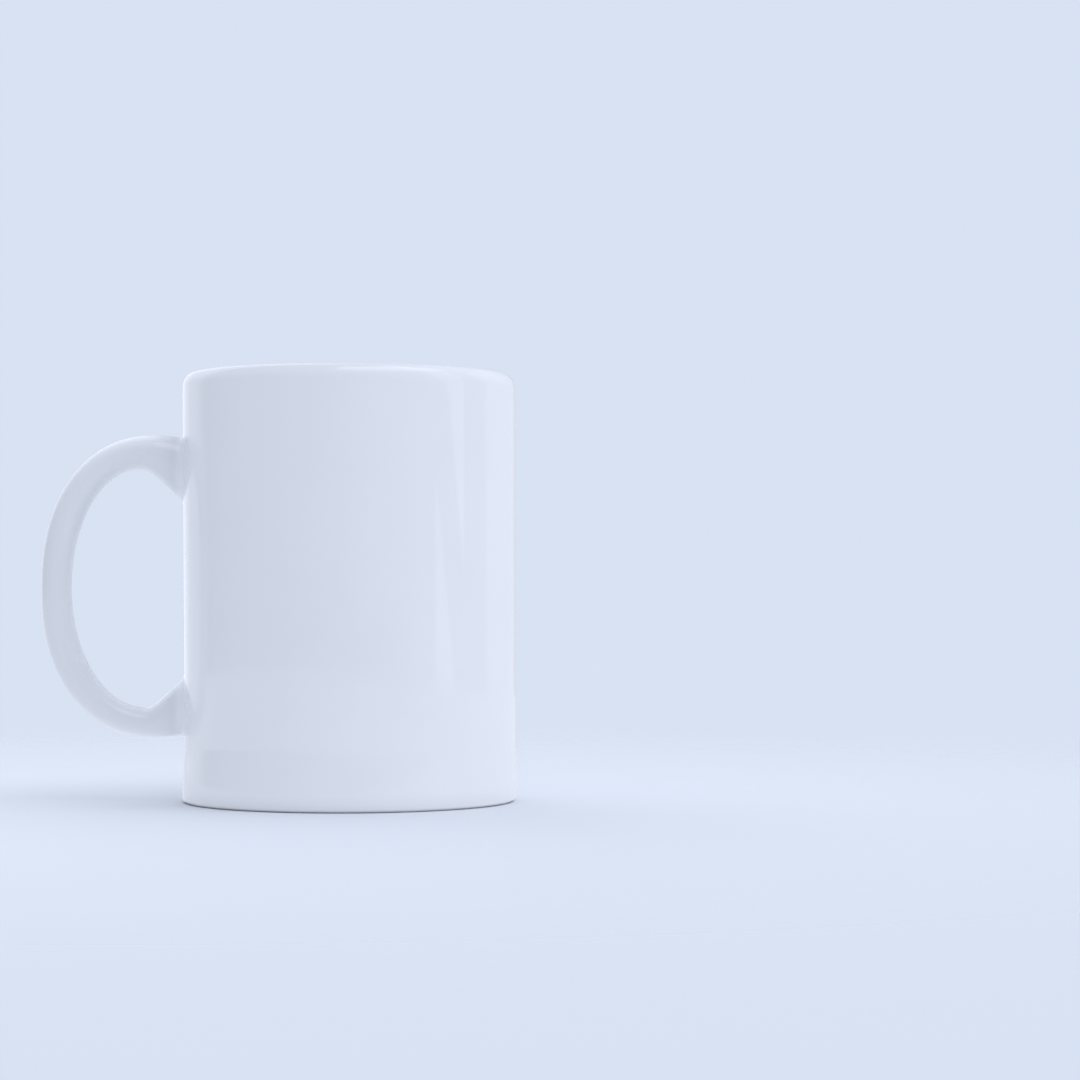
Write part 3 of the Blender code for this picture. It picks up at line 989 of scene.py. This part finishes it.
def strip(graph, azimuth, height, low, high, rise, fall, slant=0.0):
    """Upright strip of light between two azimuths, with soft edges, leaning with height."""
    leaning = azimuth + height * slant
    return graph.between(leaning, low, low + rise) * (1.0 - graph.between(leaning, high - fall, high))


def surround_level(graph, studio):
    """Brightness of the soft surround, whose azimuth is 0 at the front and 90 at the right."""
    direction = graph.value("TexCoord", {}, {}, output="Generated")
    parts = graph.node("SeparateXYZ", {}, {"Vector": direction})
    across, away, height = (Value(graph, parts.outputs[name]) for name in "XYZ")
    azimuth = across.maths("ARCTAN2", away * -1.0) * math.degrees(1.0)
    facing = (across * DIAGONAL + away * -DIAGONAL) * 0.5 + 0.5
    room = facing * (studio.bright_level - studio.dark_level) + studio.dark_level
    right_panel = strip(graph, azimuth, height, **RIGHT_PANEL) * studio.right_panel
    left_panel = strip(graph, azimuth, height, **LEFT_PANEL) * studio.left_panel
    left_top = strip(graph, azimuth, height, **LEFT_TOP) * graph.between(height, *LEFT_TOP_START)
    left_top = left_top * (1.0 - graph.between(height, *LEFT_TOP_END)) * studio.left_top
    blades = strip(graph, azimuth, height, **BLADES) * studio.blades
    blades = blades * (1.0 - strip(graph, azimuth, height, **BLADE_GAP))
    key = strip(graph, azimuth, height, **KEY) * graph.between(height, *KEY_START)
    key = key * (1.0 - graph.between(height, *KEY_END)) * studio.key
    overhead = graph.between(height + away * OVERHEAD_TILT, *OVERHEAD_START) * studio.overhead
    behind = graph.between(away, *BEHIND_START) * (1.0 - graph.between(height, *BEHIND_END))
    above = room + right_panel + left_panel + left_top + blades + key + overhead
    above = above + behind * studio.behind
    table = 1.0 - graph.between(height, *HORIZON)
    below = graph.between(height, *TABLE_BAND) * studio.table_gain + studio.table_level
    return above + (below - above) * table


def set_world(scene, studio):
    """Even backdrop for the camera, and a soft surround that lights the mug and shows in it."""
    world = bpy.data.worlds.new("Studio surround")
    world.use_nodes = True
    scene.world = world
    graph = Graph(world.node_tree)
    level = surround_level(graph, studio)
    surround = graph.node("Background", {}, {"Color": solid(studio.tint), "Strength": level})
    backdrop = graph.node("Background", {}, {"Color": solid(studio.backdrop), "Strength": 1.0})
    seen = graph.value("LightPath", {}, {}, output="Is Camera Ray")
    mixed = graph.node("MixShader", {}, {0: seen, 1: Value(graph, surround.outputs[0]),
                                         2: Value(graph, backdrop.outputs[0])})
    graph.node("OutputWorld", {}, {"Surface": Value(graph, mixed.outputs[0])})


def set_camera(scene, studio):
    """Camera in front of the mug, turned to its right and tilted up a little."""
    data = bpy.data.cameras.new("Camera")
    data.lens = studio.lens
    data.sensor_width = 36.0
    data.clip_start = 0.01
    camera = bpy.data.objects.new("Camera", data)
    camera.location = (AXIS_X, -studio.distance, studio.eye_height)
    camera.rotation_euler = (math.radians(90.0 + studio.pitch), 0.0, math.radians(-studio.yaw))
    scene.collection.objects.link(camera)
    scene.camera = camera


class MUG_PT_panel(Panel):
    """Buttons that make the mug piece by piece"""

    bl_idname = "MUG_PT_panel"
    bl_label = "Glazed ceramic mug"
    bl_space_type = "VIEW_3D"
    bl_region_type = "UI"
    bl_category = "Mug"

    def draw(self, context):
        for operator in OPERATORS:
            self.layout.operator(operator.bl_idname)
        for group in GROUPS:
            column = self.layout.column()
            settings = getattr(context.scene, group)
            for name in settings.__annotations__:
                column.prop(settings, name)


OPERATORS = [
    MUG_OT_clay_body,
    MUG_OT_wall_glaze,
    MUG_OT_bowl_glaze,
    MUG_OT_recess_glaze,
    MUG_OT_handle,
    MUG_OT_slip_joints,
    MUG_OT_stage,
]


def register():
    """Register the classes and hang the settings on the scene."""
    for item in [*GROUPS.values(), *OPERATORS, MUG_PT_panel]:
        bpy.utils.register_class(item)
    for name, group in GROUPS.items():
        setattr(bpy.types.Scene, name, PointerProperty(type=group))


def unregister():
    """Take the settings and the classes away again."""
    for name in GROUPS:
        delattr(bpy.types.Scene, name)
    for item in [MUG_PT_panel, *reversed(OPERATORS), *reversed(GROUPS.values())]:
        bpy.utils.unregister_class(item)


def main():
    """Make every piece of the mug and its studio."""
    register()
    bpy.ops.mug.clay_body()
    bpy.ops.mug.wall_glaze()
    bpy.ops.mug.bowl_glaze()
    bpy.ops.mug.recess_glaze()
    bpy.ops.mug.handle()
    bpy.ops.mug.slip_joints()
    bpy.ops.mug.stage()


if __name__ == "__main__":
    main()
